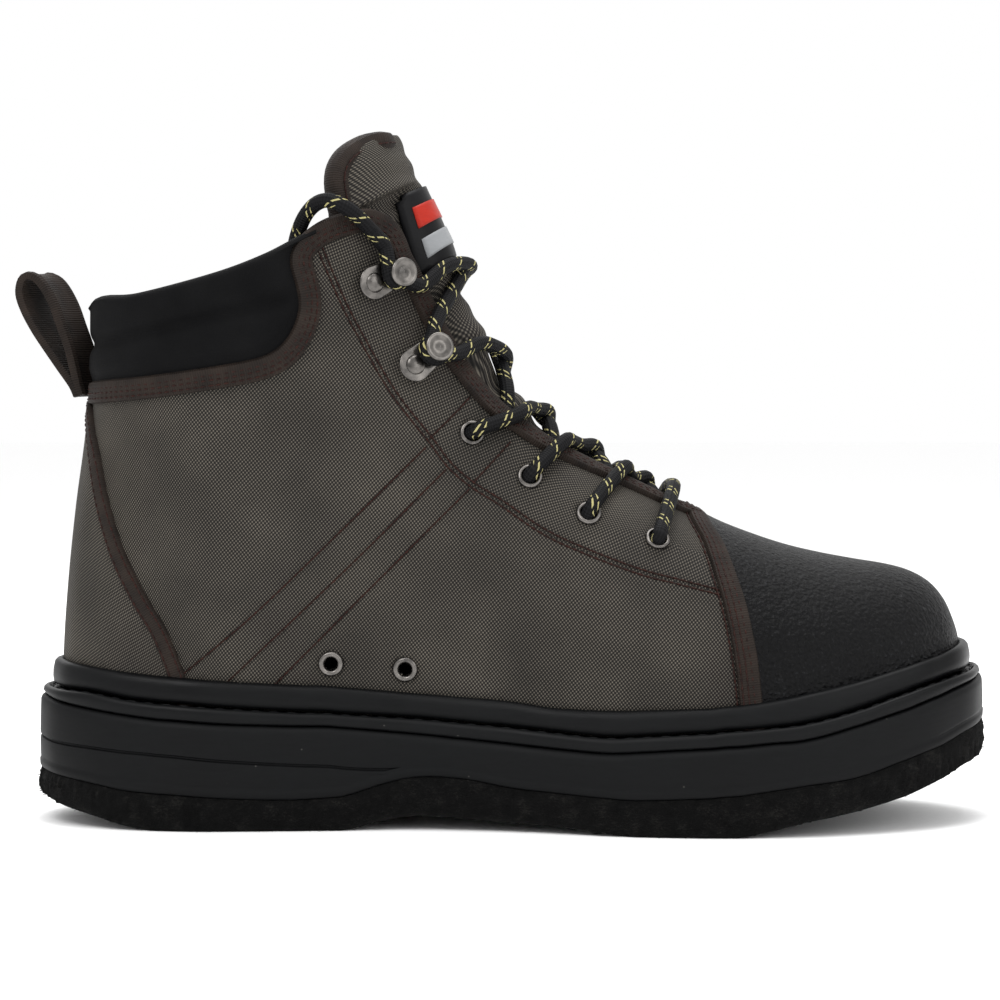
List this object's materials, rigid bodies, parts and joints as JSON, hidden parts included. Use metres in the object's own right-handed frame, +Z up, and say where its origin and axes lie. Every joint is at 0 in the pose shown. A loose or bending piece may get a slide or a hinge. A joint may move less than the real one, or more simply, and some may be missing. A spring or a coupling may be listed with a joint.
{
  "type": "wading boot",
  "caption": "Ankle-high lace-up wading boot with a thick felt outsole, rubber midsole and rand, rubberised toe cap, woven upper, padded collar, tongue, speed hooks and a pull loop.",
  "frame": {"origin": "on the floor, at the middle of the flat spot under the heel", "axes": "+X to the toe, +Z up, and -Y to the outer side of the foot"},
  "size_m": [0.3308, 0.1134, 0.233],
  "materials": {
    "felt": "dense needled felt",
    "rubber": "moulded, slightly satin",
    "woven_fabric": "coarse woven nylon",
    "coated_fabric": "pebbled rubberised fabric",
    "binding_tape": "ribbed woven tape",
    "neoprene": "knit-faced foam",
    "insole_foam": "cloth-faced foam",
    "gunmetal": "dark plated steel, satin",
    "lace_cord": "round braided cord"
  },
  "bodies": {
    "root": {"felt_outsole": "felt", "midsole": "rubber", "welt": "rubber", "rand": "rubber", "tongue_patch": "rubber", "upper": "woven_fabric", "heel_counter": "woven_fabric", "toe_cap": "coated_fabric", "tongue": "coated_fabric", "collar_binding": "binding_tape", "throat_binding_outer": "binding_tape", "throat_binding_inner": "binding_tape", "toe_cap_binding": "binding_tape", "counter_binding": "binding_tape", "pull_loop": "binding_tape", "gaiter_ring_tab": "binding_tape", "collar_cuff": "neoprene", "insole": "insole_foam", "lace_eyelet_outer_1": "gunmetal", "lace_eyelet_outer_2": "gunmetal", "lace_eyelet_outer_3": "gunmetal", "lace_eyelet_outer_4": "gunmetal", "lace_eyelet_inner_1": "gunmetal", "lace_eyelet_inner_2": "gunmetal", "lace_eyelet_inner_3": "gunmetal", "lace_eyelet_inner_4": "gunmetal", "drain_grommet_outer_1": "gunmetal", "drain_grommet_outer_2": "gunmetal", "drain_grommet_inner_1": "gunmetal", "drain_grommet_inner_2": "gunmetal", "speed_hook_outer_1": "gunmetal", "speed_hook_outer_2": "gunmetal", "speed_hook_inner_1": "gunmetal", "speed_hook_inner_2": "gunmetal", "gaiter_ring": "gunmetal", "lace_bar": "lace_cord", "lace_crossing_1": "lace_cord", "lace_crossing_2": "lace_cord", "lace_crossing_3": "lace_cord", "lace_crossing_4": "lace_cord", "lace_crossing_5": "lace_cord", "lace_end_outer": "lace_cord"}
  },
  "joints": []
}
